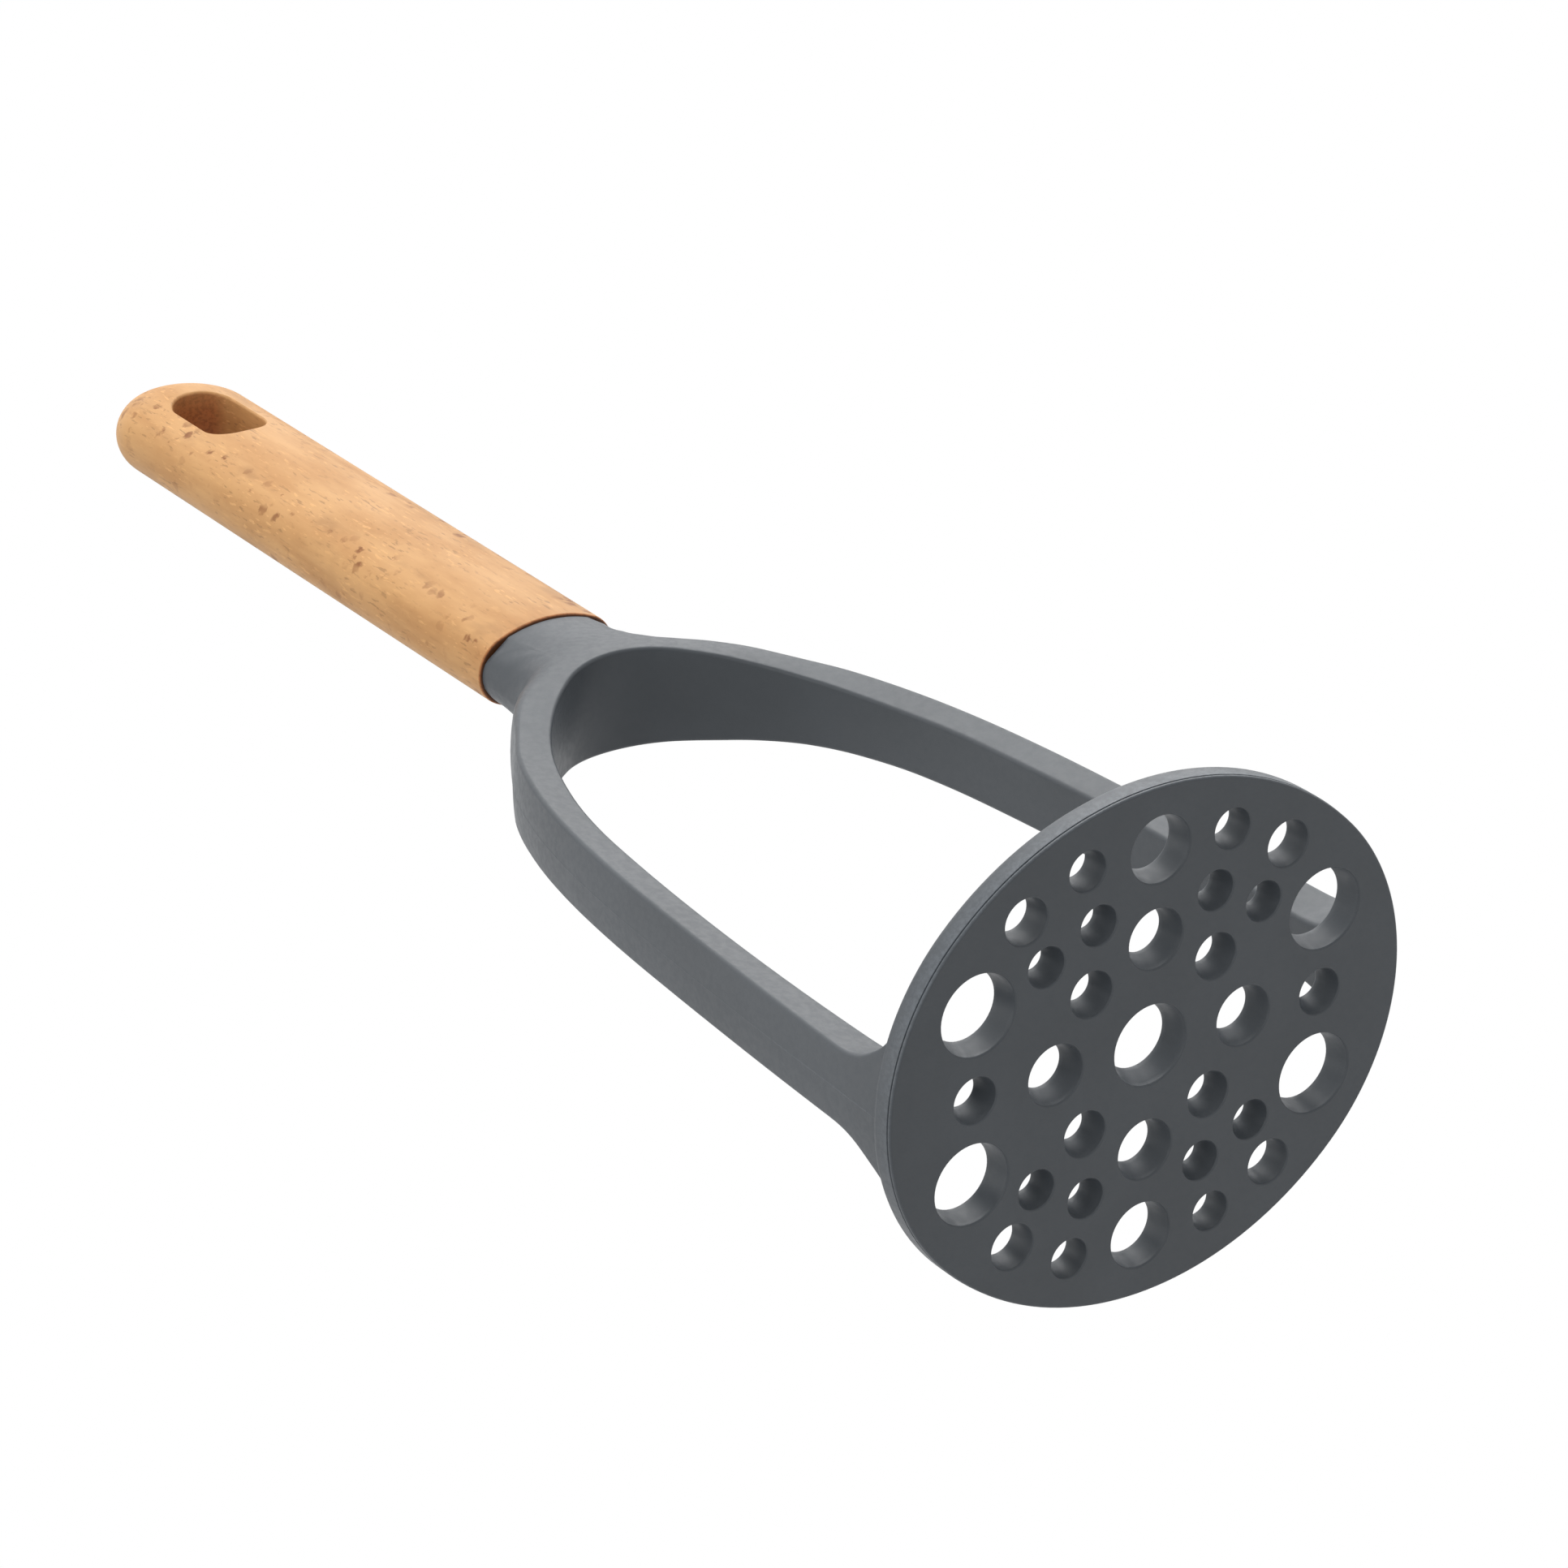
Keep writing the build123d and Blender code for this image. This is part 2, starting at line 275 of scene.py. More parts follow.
def opening_line():
    """The right half of the opening between the legs, from the crown down, in millimetres."""
    hoop = bpy.context.scene.hoop_sizes
    x, z = 0.0, hoop.crown_height / MM
    heading = 0.0
    line = [(x, z)]
    for end_x, end_z in ARC_ENDS:
        chord = hypot(end_x - x, end_z - z)
        turn = 2 * (heading - atan2(end_z - z, end_x - x))
        radius = chord / (2 * sin(turn / 2))
        steps = max(8, int(radius * turn / 0.6))
        for i in range(1, steps + 1):
            part = turn * i / steps
            way = 2 * radius * sin(part / 2)
            aim = heading - part / 2
            line.append((x + way * cos(aim), z + way * sin(aim)))
        x, z = line[-1]
        heading -= turn
    return line


def looking_at(place, aim, roll=0.0):
    """The matrix of a lamp or camera that stands at a place and looks at an aim."""
    back = (Vector(place) - Vector(aim)).normalized()
    turn = back.to_track_quat("Z", "Y").to_matrix().to_4x4()
    return Matrix.Translation(place) @ turn @ Matrix.Rotation(radians(roll), 4, "Z")


# Node helpers

class Nodes:
    """Short calls for the nodes of any tree."""

    def __init__(self, tree):
        self.tree = tree

    def fill(self, made, inputs):
        """Feeds a node's inputs, by name or number, with values or other nodes' outputs."""
        for key, value in inputs.items():
            if isinstance(value, bpy.types.NodeSocket):
                self.tree.links.new(value, made.inputs[key])
            else:
                made.inputs[key].default_value = value
        return made

    def node(self, kind, inputs=None, **settings):
        made = self.tree.nodes.new(kind)
        for key, value in settings.items():
            setattr(made, key, value)
        return self.fill(made, inputs or {})

    def sum(self, operation, *values):
        return self.node("ShaderNodeMath", dict(enumerate(values)), operation=operation).outputs[0]

    def split(self, vector):
        """A vector's three parts."""
        return self.node("ShaderNodeSeparateXYZ", {0: vector}).outputs

    def choose(self, share, a, b):
        """Goes from one shader to another by a share."""
        return self.node("ShaderNodeMixShader", {0: share, 1: a, 2: b}).outputs[0]


# Mesh helpers

def put(name, data):
    """A new object in the scene, at the origin."""
    made = bpy.data.objects.new(name, data)
    bpy.context.scene.collection.objects.link(made)
    return made


def make_piece(name, mesh_or_bmesh):
    """Turns a mesh into an object."""
    if isinstance(mesh_or_bmesh, bmesh.types.BMesh):
        mesh = bpy.data.meshes.new(name)
        mesh_or_bmesh.to_mesh(mesh)
        mesh_or_bmesh.free()
    else:
        mesh = mesh_or_bmesh
        mesh.name = name
    return put(name, mesh)


def drop(piece):
    mesh = piece.data
    bpy.data.objects.remove(piece)
    bpy.data.meshes.remove(mesh)


def rings_solid(name, rings, merge=1e-7):
    """Skins closed rings of points and caps both ends."""
    bm = bmesh.new()
    rows = [[bm.verts.new(Vector(p) * MM) for p in ring] for ring in rings]
    count = len(rows[0])
    for low, high in zip(rows, rows[1:]):
        for i in range(count):
            j = (i + 1) % count
            bm.faces.new((low[i], low[j], high[j], high[i]))
    bm.faces.new(rows[0])
    bm.faces.new(reversed(rows[-1]))
    bmesh.ops.remove_doubles(bm, verts=bm.verts, dist=merge)
    bmesh.ops.dissolve_degenerate(bm, edges=bm.edges, dist=merge)
    bmesh.ops.recalc_face_normals(bm, faces=bm.faces)
    if bm.calc_volume(signed=True) < 0:
        bmesh.ops.reverse_faces(bm, faces=bm.faces)
    return make_piece(name, bm)


def settle(piece):
    """Replaces a piece's mesh by what its modifiers make of it."""
    depsgraph = bpy.context.evaluated_depsgraph_get()
    made = bpy.data.meshes.new_from_object(piece.evaluated_get(depsgraph), depsgraph=depsgraph)
    old = piece.data
    piece.modifiers.clear()
    piece.data = made
    made.name = piece.name
    bpy.data.meshes.remove(old)
    return piece


def carve(piece, tool, operation):
    """Joins a tool to a piece or cuts it away, and removes the tool."""
    step = piece.modifiers.new("carve", "BOOLEAN")
    step.operation = operation
    step.solver = "EXACT"
    step.object = tool
    settle(piece)
    drop(tool)
    if len(piece.data.polygons) < 10:
        raise RuntimeError("the solid " + piece.name + " was lost in " + operation)
    return piece


def shade(piece, sharp):
    """Smooth shading with crisp edges, and flat faces that stay flat to the eye."""
    bm = bmesh.new()
    bm.from_mesh(piece.data)
    bmesh.ops.remove_doubles(bm, verts=bm.verts, dist=2e-6)
    bmesh.ops.dissolve_degenerate(bm, edges=bm.edges, dist=1e-6)
    bm.to_mesh(piece.data)
    bm.free()
    piece.data.shade_smooth()
    piece.data.set_sharp_from_angle(angle=radians(sharp))
    weigh = piece.modifiers.new("weigh", "WEIGHTED_NORMAL")
    weigh.mode = "FACE_AREA"
    weigh.weight = 60
    weigh.keep_sharp = True
    return settle(piece)


def dress(piece, material):
    """Gives a finished piece its one material, and says so if its mesh isn't closed."""
    piece.data.materials.clear()
    piece.data.materials.append(material)
    bm = bmesh.new()
    bm.from_mesh(piece.data)
    count = sum(1 for e in bm.edges if len(e.link_faces) != 2)
    bm.free()
    if count:
        print(piece.name, "has", count, "open edges")


# The plate

def plate_outline(half_length, half_width, end_radius):
    """The whole oval, anticlockwise, each point with its normal."""
    half = oval_points(half_length, half_width, end_radius, 22, 40)
    right = list(reversed(half))
    left = [(-x, y, -nx, ny) for x, y, nx, ny in half]
    return right[:-1] + left[:-1]


def plate_rim(sizes):
    """How far in from the rim and how high each ring of the edge lies, in millimetres, from the
    mashing face to the back: the front rounding and its lip, the parting groove, the back rounding."""
    front, back, thick = sizes.front_radius / MM, sizes.back_radius / MM, sizes.thickness / MM
    lip, groove = sizes.lip / MM, sizes.groove / MM
    rim = [(lip + inset, z) for z, inset in rounding(front, 5)]
    # The lip's flat, the groove's floor, and the slope back out to the rest of the rim
    line = front + 0.12
    rim += [(lip, line), (lip + groove, line + 0.07), (lip + groove, line + 0.15),
            (lip / 2, line + 0.22), (0.0, line + 0.3)]
    return rim + [(inset, thick - z) for inset, z in rounding(back, 6)]


def plate_blank():
    sizes = bpy.context.scene.plate_sizes
    outline = plate_outline(sizes.half_length / MM, sizes.half_width / MM, sizes.end_radius / MM)
    rings = [[(x - nx * inset, y - ny * inset, z) for x, y, nx, ny in outline]
             for inset, z in plate_rim(sizes)]
    return rings_solid("plate_blank", rings)


# Where the holes' taper changes from the middle's to the outer one, as shares of the half sizes
TAPER_BAND = (0.64, 0.78)


def hole_taper(sizes, x, y):
    """How much the radius of the hole at a place shrinks towards the plate's back."""
    out = hypot(x / sizes.half_length, y / sizes.half_width)
    share = (out - TAPER_BAND[0]) / (TAPER_BAND[1] - TAPER_BAND[0])
    return blend(sizes.middle_taper, sizes.taper, clamp(share))


def hole_places():
    """One point for each hole, with its centre, radius and taper as attributes."""
    sizes = bpy.context.scene.plate_sizes
    spots = []
    for radius, shares in HOLES:
        for x, y in shares:
            for sx, sy in ((1, 1), (-1, 1), (1, -1), (-1, -1)):
                spot = (x * sx * sizes.half_length, y * sy * sizes.half_width, radius * MM)
                if not any(hypot(spot[0] - s[0], spot[1] - s[1]) < MM for s in spots):
                    spots.append(spot)
    mesh = bpy.data.meshes.new("hole_places")
    mesh.from_pydata([(x, y, 0.0) for x, y, r in spots], [], [])
    radii = mesh.attributes.new("hole_radius", "FLOAT", "POINT")
    tapers = mesh.attributes.new("hole_taper", "FLOAT", "POINT")
    centres = mesh.attributes.new("hole_centre", "FLOAT_VECTOR", "POINT")
    for i, (x, y, r) in enumerate(spots):
        radii.data[i].value = r
        tapers.data[i].value = hole_taper(sizes, x, y)
        centres.data[i].vector = (x, y, 0.0)
    return make_piece("hole_places", mesh)


def perforation_tree(material):
    """Cuts a round hole with two rounded mouths at every point of the hole places."""
    tree = bpy.data.node_groups.new("Perforations", "GeometryNodeTree")
    face = tree.interface
    face.new_socket("Geometry", in_out="OUTPUT", socket_type="NodeSocketGeometry")
    for name, kind in (("Geometry", "Geometry"), ("Hole places", "Object"), ("Thickness", "Float"),
                       ("Mouth radius", "Float"), ("Hole sides", "Int")):
        face.new_socket(name, in_out="INPUT", socket_type="NodeSocket" + kind)
    s = Nodes(tree)
    do = s.sum
    given = s.node("NodeGroupInput").outputs

    def attribute(name, kind):
        made = s.node("GeometryNodeInputNamedAttribute", {"Name": name}, data_type=kind)
        return made.outputs["Attribute"]

    # A drill of unit size on every place
    rings = WALL_RINGS + MOUTH_RINGS + PAST_RINGS
    info = s.node("GeometryNodeObjectInfo", {"Object": given["Hole places"]})
    drill = s.node("GeometryNodeMeshCylinder", {"Vertices": given["Hole sides"], "Side Segments": 2 * rings,
                                                "Radius": 1.0, "Depth": 1.0})
    put = s.node("GeometryNodeInstanceOnPoints", {"Points": info.outputs["Geometry"],
                                                  "Instance": drill.outputs["Mesh"]})
    real = s.node("GeometryNodeRealizeInstances", {"Geometry": put.outputs["Instances"]})

    centre = attribute("hole_centre", "FLOAT_VECTOR")
    position = s.node("GeometryNodeInputPosition").outputs[0]
    away = s.node("ShaderNodeVectorMath", {0: position, 1: centre}, operation="SUBTRACT")
    x, y, z = s.split(away.outputs[0])
    spot = s.split(centre)

    # How high a ring lies over the plate's middle: up the wall, round the mouth and past the face
    steep = radians(HOLE_MOUTH_TURN)
    past_face = 0.4 * MM
    mouth = given["Mouth radius"]
    half = do("MULTIPLY", given["Thickness"], 0.5)
    ring = do("MULTIPLY", do("ABSOLUTE", z), 2.0 * rings)
    wall = do("MINIMUM", do("DIVIDE", ring, WALL_RINGS), 1.0)
    turned = do("DIVIDE", do("SUBTRACT", ring, WALL_RINGS), MOUTH_RINGS)
    roll = do("MULTIPLY", do("MINIMUM", do("MAXIMUM", turned, 0.0), 1.0), steep)
    beyond = do("MAXIMUM", do("SUBTRACT", ring, WALL_RINGS + MOUTH_RINGS), 0.0)
    past = do("MULTIPLY", beyond, past_face / PAST_RINGS)
    height = do("ADD", do("MULTIPLY", wall, do("SUBTRACT", half, mouth)),
                do("ADD", do("MULTIPLY", mouth, do("SINE", roll)), past))
    height = do("MULTIPLY", height, do("SIGN", z))

    # How wide it is: the hole's radius, the mouth's flare, less the taper towards the back
    flare = do("ADD", do("MULTIPLY", mouth, do("SUBTRACT", 1.0, do("COSINE", roll))),
               do("MULTIPLY", past, tan(steep)))
    back = do("MULTIPLY_ADD", do("MULTIPLY", do("SIGN", z), wall), 0.5, 0.5)
    taper = do("MULTIPLY", attribute("hole_taper", "FLOAT"), back)
    reach = do("ADD", attribute("hole_radius", "FLOAT"), do("SUBTRACT", flare, taper))

    place = s.node("ShaderNodeCombineXYZ", {0: do("ADD", spot[0], do("MULTIPLY", x, reach)),
                                            1: do("ADD", spot[1], do("MULTIPLY", y, reach)),
                                            2: do("ADD", half, height)})
    shape = s.node("GeometryNodeSetPosition", {"Geometry": real.outputs[0], "Position": place.outputs[0]})
    cut = s.node("GeometryNodeMeshBoolean", {"Mesh 1": given["Geometry"], "Mesh 2": shape.outputs[0]},
                 operation="DIFFERENCE", solver="EXACT")
    last = s.node("GeometryNodeRealizeInstances", {"Geometry": cut.outputs["Mesh"]})
    paint = s.node("GeometryNodeSetMaterial", {"Geometry": last.outputs[0], "Material": material})
    s.node("NodeGroupOutput", {"Geometry": paint.outputs[0]})
    return tree


def set_inputs(modifier, values):
    """Sets a tree's named inputs by their sockets' identifiers."""
    for item in modifier.node_group.interface.items_tree:
        if item.item_type == "SOCKET" and item.in_out == "INPUT" and item.name in values:
            modifier[item.identifier] = values[item.name]


def perforated_plate(material):
    sizes = bpy.context.scene.plate_sizes
    plate = plate_blank()
    places = hole_places()
    step = plate.modifiers.new("perforations", "NODES")
    step.node_group = perforation_tree(material)
    set_inputs(step, {"Hole places": places, "Thickness": sizes.thickness,
                      "Mouth radius": sizes.mouth_radius, "Hole sides": sizes.hole_sides})
    settle(plate)
    drop(places)
    for name in ("hole_radius", "hole_taper", "hole_centre"):
        if name in plate.data.attributes:
            plate.data.attributes.remove(plate.data.attributes[name])
    return plate


# The hoop and neck

class Hoop:
    """The hoop's sizes in millimetres, under their own names, and its outside by height."""

    def __init__(self):
        sizes, plate = bpy.context.scene.hoop_sizes, bpy.context.scene.plate_sizes
        for name in HoopSizes.__annotations__:
            setattr(self, name, getattr(sizes, name) / MM)
        self.plate_top = plate.thickness / MM
        self.end_radius = plate.end_radius / MM
        self.neck = (self.neck_half_width, self.neck_half_depth, self.neck_end_radius)
        self.neck_x, self.neck_y = oval_corner(*self.neck)[:2]
        # The foot stands just inside the plate's rim, so that their faces don't coincide
        foot_row = (self.plate_top, plate.half_length / MM - 0.08, 0.0, 0.0, 1.0)
        self.rows = (foot_row,) + STATIONS

    def spread(self, z):
        """How much of the foot's flare is left at a height."""
        return (1 - clamp((z - self.plate_top) / self.foot_height)) ** 3

    def root(self, z):
        """How far the small fillet at the plate's back stands out at a height."""
        low = max(0.06 * self.root_fillet, z - self.plate_top)
        if low >= self.root_fillet:
            return 0.0
        return self.root_fillet - sqrt(self.root_fillet ** 2 - (self.root_fillet - low) ** 2)

    def level(self, z):
        """Half width, corner x, corner depth, middle depth and lean at a height."""
        half, crown, neck, lean = smooth_rows(self.rows, z)
        spread = self.spread(z)
        leg = blend(self.leg_depth, self.foot_depth, spread) + 0.6 * self.root(z)
        edge = blend(blend(leg, self.crown_edge_depth, crown), self.neck_y, neck)
        middle = blend(blend(leg, self.crown_depth, crown), self.neck[1], neck)
        rim = self.end_radius - sqrt(self.end_radius ** 2 - edge ** 2)
        inset = blend(rim, self.neck[0] - self.neck_x, neck)
        return half, half - inset, edge, middle, blend(lean * self.lean, self.foot_lean, spread)

    def depth(self, x, z):
        """Half depth of the side faces at a place seen from the front."""
        half, corner, edge, middle, lean = self.level(z)
        arc = middle - (middle - edge) * (min(abs(x), corner) / corner) ** 2
        lean = 0.5 * (lean + sqrt(lean * lean + 0.004))
        return arc - lean * max(0.0, half - abs(x)) / self.leg_thickness


def ring_step(hoop, z):
    """How far above a height the next ring lies: close where the shape turns."""
    foot = hoop.plate_top
    for limit, step in ((foot + hoop.root_fillet, 0.2), (foot + hoop.foot_height, 0.7), (100.0, 2.4),
                        (137.0, 1.1)):
        if z < limit:
            return step
    return 0.9


def outer_line(hoop):
    """The corner between side and outer face: (x, z, on the neck's flat top or not)."""
    heights = [hoop.plate_top - 1.4, hoop.plate_top - 0.3]
    z = hoop.plate_top
    while z < hoop.joint_height - 0.01:
        heights.append(z)
        z += ring_step(hoop, z)
    heights.append(hoop.joint_height)
    line = [(hoop.level(z)[1], z, False) for z in heights]
    edge = line[-1][0]
    return line + [(edge * (1 - i / 10), hoop.joint_height, True) for i in range(1, 11)]


def inner_point(line, x, z):
    """The opening's point that faces a point of the outer line."""
    if z <= TURN_AT:
        for (x0, z0), (x1, z1) in zip(line, line[1:]):
            if z1 <= z:
                return blend(x0, x1, (z0 - z) / (z0 - z1)), z
        return line[-1][0], z
    aim = atan2(z - TURN_AT, x)
    for (x0, z0), (x1, z1) in zip(line, line[1:]):
        a0, a1 = atan2(z0 - TURN_AT, x0), atan2(z1 - TURN_AT, x1)
        if a1 <= aim <= a0:
            t = (a0 - aim) / (a0 - a1) if a0 > a1 else 0.0
            return blend(x0, x1, t), blend(z0, z1, t)
    return line[0]


def bend_points(one, two, corner, steps):
    """A small curve round a corner, from one face to another, that joins both smoothly.

    Each face is given by the point where the curve meets it and one just before that."""
    ends = []
    for point, before in (one, two):
        point = Vector(point)
        way = (point - Vector(before)).normalized()
        ends.append((point, point + way * 0.55 * (Vector(corner) - point).length))
    (a, b), (d, c) = ends
    found = []
    for i in range(steps + 1):
        t = i / steps
        u = 1 - t
        found.append(tuple(u ** 3 * a + 3 * t * u ** 2 * b + 3 * t * t * u * c + t ** 3 * d))
    return found


def hoop_ring(hoop, inner, outer):
    """One ring round the hoop's section: inner face, side, outer face, and the other side."""
    xi, zi = inner
    xo, zo, on_top = outer
    xi = max(0.0, xi - hoop.root(zi))
    across = hypot(xo - xi, zo - zi)
    neck = smooth_rows(hoop.rows, zo)[2]
    soft = clamp(neck * 1.6) ** 0.6
    round_in = min(0.6, 0.2 * across)
    round_out = 0.3 if on_top else blend(hoop.edge_round, hoop.neck_round, soft) * min(1.0, across / 5)

    def side(share):
        x, z = blend(xi, xo, share), blend(zi, zo, share)
        return x, hoop.depth(x, z), z

    corner_in, corner_out = side(0.0), side(1.0)
    start, finish = round_in / across, 1 - round_out / across
    turn_in = corner_in[1] - round_in
    half = [(xi, turn_in * t, zi) for t in (0.0, 0.35, 0.7)]
    inner_end = ((xi, turn_in, zi), (xi, turn_in * 0.9, zi))
    half += bend_points(inner_end, (side(start), side(start + 0.02)), corner_in, 5)
    half += [side(blend(start, finish, i / 14)) for i in range(1, 14)]
    # The outer face, crowned across its width
    half_width, corner_x = hoop.level(zo)[:2]
    depth = corner_out[1]
    bulge = max(1e-4, half_width - corner_x)
    radius = (bulge ** 2 + depth ** 2) / (2 * bulge)

    def face(y):
        if on_top:
            return xo, y, zo
        ridge = hoop.seam_height * clamp(1 - abs(y) / hoop.seam_half)
        ridge *= clamp((hoop.joint_height - 14 - zo) / 20)
        return half_width - radius + sqrt(max(0.0, radius ** 2 - y * y)) + ridge, y, zo

    turn_out = depth - min(round_out, depth * blend(0.45, 0.8, soft))
    half += bend_points((side(finish), side(finish - 0.02)), (face(turn_out), face(turn_out * 0.97)),
                        corner_out, 9)
    half += [face(turn_out * t) for t in (0.92, 0.8, 0.62, 0.4, 0.2)]
    half += [face(hoop.seam_half), face(hoop.seam_half / 2), face(0.0)]
    other = [(x, -y, z) for x, y, z in reversed(half[1:-1])]
    return half + other


def hoop_solid():
    hoop = Hoop()
    opening = opening_line()
    outer = outer_line(hoop)
    right = []
    for x, z, on_top in outer:
        inner = inner_point(opening, x, z)
        if z < hoop.plate_top:
            inner = (opening[-1][0], z)
        right.append(hoop_ring(hoop, inner, (x, z, on_top)))
    left = [[(-x, y, z) for x, y, z in ring] for ring in reversed(right[:-1])]
    return rings_solid("hoop", right + left)


def mark_wear_and_highlight(head):
    """An attribute that says how much a point is lightened: scuffs on the rim, with a painted highlight
    that lightens the rim most on the side where y is positive, which faces the main lamps, and scuffs on
    the mould's seam up each foot."""
    sizes = bpy.context.scene.plate_sizes
    corner, _, side = oval_corner(sizes.half_length, sizes.half_width, sizes.end_radius)
    rim_band, rim_fade = 0.3 * MM, 2.4 * MM
    seam_half, seam_top, seam_fade = 0.11 * MM, 36 * MM, 12 * MM
    seam_wear, seam_from, seam_ease = 0.55, 39 * MM, 1 * MM
    wear = head.data.attributes.new("wear", "FLOAT", "POINT")
    for vertex, scuff in zip(head.data.vertices, wear.data):
        x, y, z = abs(vertex.co.x), abs(vertex.co.y), vertex.co.z
        if x < corner and y > 0.5 * sizes.half_width:
            inset = side - hypot(x, y + side - sizes.half_width)
        else:
            inset = sizes.end_radius - hypot(x - sizes.half_length + sizes.end_radius, y)
        rim = clamp(1 - inset / rim_band) * clamp((sizes.thickness - rim_band - z) / rim_fade)
        # Painted highlight: the rim is lightened more towards positive y, the side that faces the main
        # lamps
        rim *= blend(0.3, 1.0, clamp(vertex.co.y / sizes.half_width + 0.5))
        seam = 0.0
        if z > sizes.thickness:
            seam = clamp(1 - y / seam_half) * clamp((seam_top - z) / seam_fade)
        scuff.value = max(rim, seam_wear * seam * clamp((x - seam_from) / seam_ease))


def tang_solid():
    """A ribbed stem that starts inside the neck."""
    sizes = bpy.context.scene.tang_sizes
    joint = bpy.context.scene.hoop_sizes.joint_height / MM
    stem, rib = sizes.radius / MM, sizes.rib_height / MM
    reach, ends = sizes.length / MM, sizes.rib_end / MM
    step = 2 * pi / sizes.rib_count
    wide = asin(sizes.rib_width / MM / 2 / stem)

    def ring(z, base, proud):
        points = []
        for k in range(sizes.rib_count):
            turn = k * step
            for a, lift in ((-wide, 0), (-wide, 1), (-wide / 3, 1), (wide / 3, 1), (wide, 1), (wide, 0)):
                r = base + proud * lift
                points.append((r * cos(turn + a), r * sin(turn + a), z))
            for i in range(1, 6):
                a = blend(wide, step - wide, i / 6)
                points.append((base * cos(turn + a), base * sin(turn + a), z))
        return points

    low, high = joint + ends, joint + reach - ends
    rings = [ring(joint - 6, stem, 0.0), ring(low, stem, 0.0), ring(low + 0.01, stem, rib),
             ring(high - 0.01, stem, rib), ring(high, stem, 0.0), ring(joint + reach - 1, stem, 0.0),
             ring(joint + reach, stem - 1, 0.0)]
    return rings_solid("tang", rings, merge=1e-9)


# The grip

def grip_surface(sizes, x):
    """Half thickness of the grip's broad face at a distance from its middle."""
    side = oval_corner(sizes.half_width, sizes.half_depth, sizes.side_radius)[2]
    return sizes.half_depth - side + sqrt(side ** 2 - x ** 2)


def grip_body():
    """A half section run up one side, round the end and down the other."""
    sizes = bpy.context.scene.grip_sizes
    low = GRIP_BOX[0].z / MM
    turn_at = GRIP_BOX[1].z / MM - sizes.half_width / MM
    ease = sizes.end_round / MM
    values = (sizes.half_width / MM, sizes.half_depth / MM, sizes.side_radius / MM)

    def section(inset):
        return [(x - nx * inset if x > 1e-9 else 0.0, y - ny * inset)
                for x, y, nx, ny in oval_points(*values, 14, 30)]

    path = [(inset, low + z, 0.0) for z, inset in rounding(ease, 5)]
    path += [(0.0, blend(low + ease, turn_at, i / 22), 0.0) for i in range(1, 23)]
    turned = [(0.0, turn_at, pi * i / 72) for i in range(1, 72)]
    path = path + turned + [(inset, z, pi) for inset, z, a in reversed(path)]
    bm = bmesh.new()
    rows = []
    for inset, z, a in path:
        rows.append([bm.verts.new((x * cos(a) * MM, y * MM, (z + x * sin(a)) * MM))
                     for x, y in section(inset)])
    for one, two in zip(rows, rows[1:]):
        for i in range(len(one) - 1):
            bm.faces.new((one[i], one[i + 1], two[i + 1], two[i]))
    bmesh.ops.remove_doubles(bm, verts=bm.verts, dist=1e-7)
    bmesh.ops.dissolve_degenerate(bm, edges=bm.edges, dist=1e-8)
    rim = [e for e in bm.edges if e.is_boundary]
    bmesh.ops.contextual_create(bm, geom=rim)
    bmesh.ops.recalc_face_normals(bm, faces=bm.faces)
    return make_piece("grip", bm)


def slot_outline(sizes, grow):
    """The hanging slot seen from the front, grown outwards by a little."""
    top = (GRIP_BOX[1].z - sizes.slot_end) / MM
    low = top - sizes.slot_length / MM
    half = sizes.slot_width / 2 / MM
    corners = ((half, low, -90, sizes.slot_low_radius), (half, top, 0, sizes.slot_top_radius),
               (-half, top, 90, sizes.slot_top_radius), (-half, low, 180, sizes.slot_low_radius))
    points = []
    for x, z, start, radius in corners:
        r = radius / MM
        cx = x - r if x > 0 else x + r
        cz = z - r if z == top else z + r
        for i in range(15):
            a = radians(start + 90 * i / 14)
            points.append((cx + (r + grow) * cos(a), cz + (r + grow) * sin(a)))
    dense = []
    for (x0, z0), (x1, z1) in zip(points, points[1:] + points[:1]):
        steps = max(1, int(hypot(x1 - x0, z1 - z0) / 1.2))
        dense += [(blend(x0, x1, i / steps), blend(z0, z1, i / steps)) for i in range(steps)]
    return dense


def slot_tool():
    sizes = bpy.context.scene.grip_sizes
    mouth = sizes.slot_mouth / MM
    steep = radians(SLOT_MOUTH_TURN)
    past_face = 0.5
    levels = rounding(mouth, 8, steep)
    grow, sink = levels[-1]
    levels.append((grow + tan(steep) * past_face, sink - past_face))
    wall = slot_outline(sizes, 0.0)
    plain = [[(x, y, z) for x, z in wall] for y in (-3.5, -1.2, 1.2, 3.5)]

    def ring(sign, grow, sink):
        return [(x, sign * (grip_surface(sizes, at[0] * MM) / MM - sink), z)
                for (x, z), at in zip(slot_outline(sizes, grow), wall)]

    past = sizes.half_depth / MM + 1.0
    lid = slot_outline(sizes, levels[-1][0])
    rings = [[(x, -past, z) for x, z in lid]]
    rings += [ring(-1, grow, sink) for grow, sink in reversed(levels)] + plain
    rings += [ring(1, grow, sink) for grow, sink in levels]
    rings.append([(x, past, z) for x, z in lid])
    return rings_solid("slot_tool", rings)


def bore_tool():
    sizes = bpy.context.scene.grip_sizes
    low = GRIP_BOX[0].z / MM
    radius, depth = sizes.bore_radius / MM, sizes.bore_depth / MM
    levels = ((radius, low - 1), (radius, low + depth), (0.02, low + depth + sizes.drill_point / MM))
    rings = [[(r * cos(2 * pi * i / 48), r * sin(2 * pi * i / 48), z) for i in range(48)]
             for r, z in levels]
    return rings_solid("bore_tool", rings)


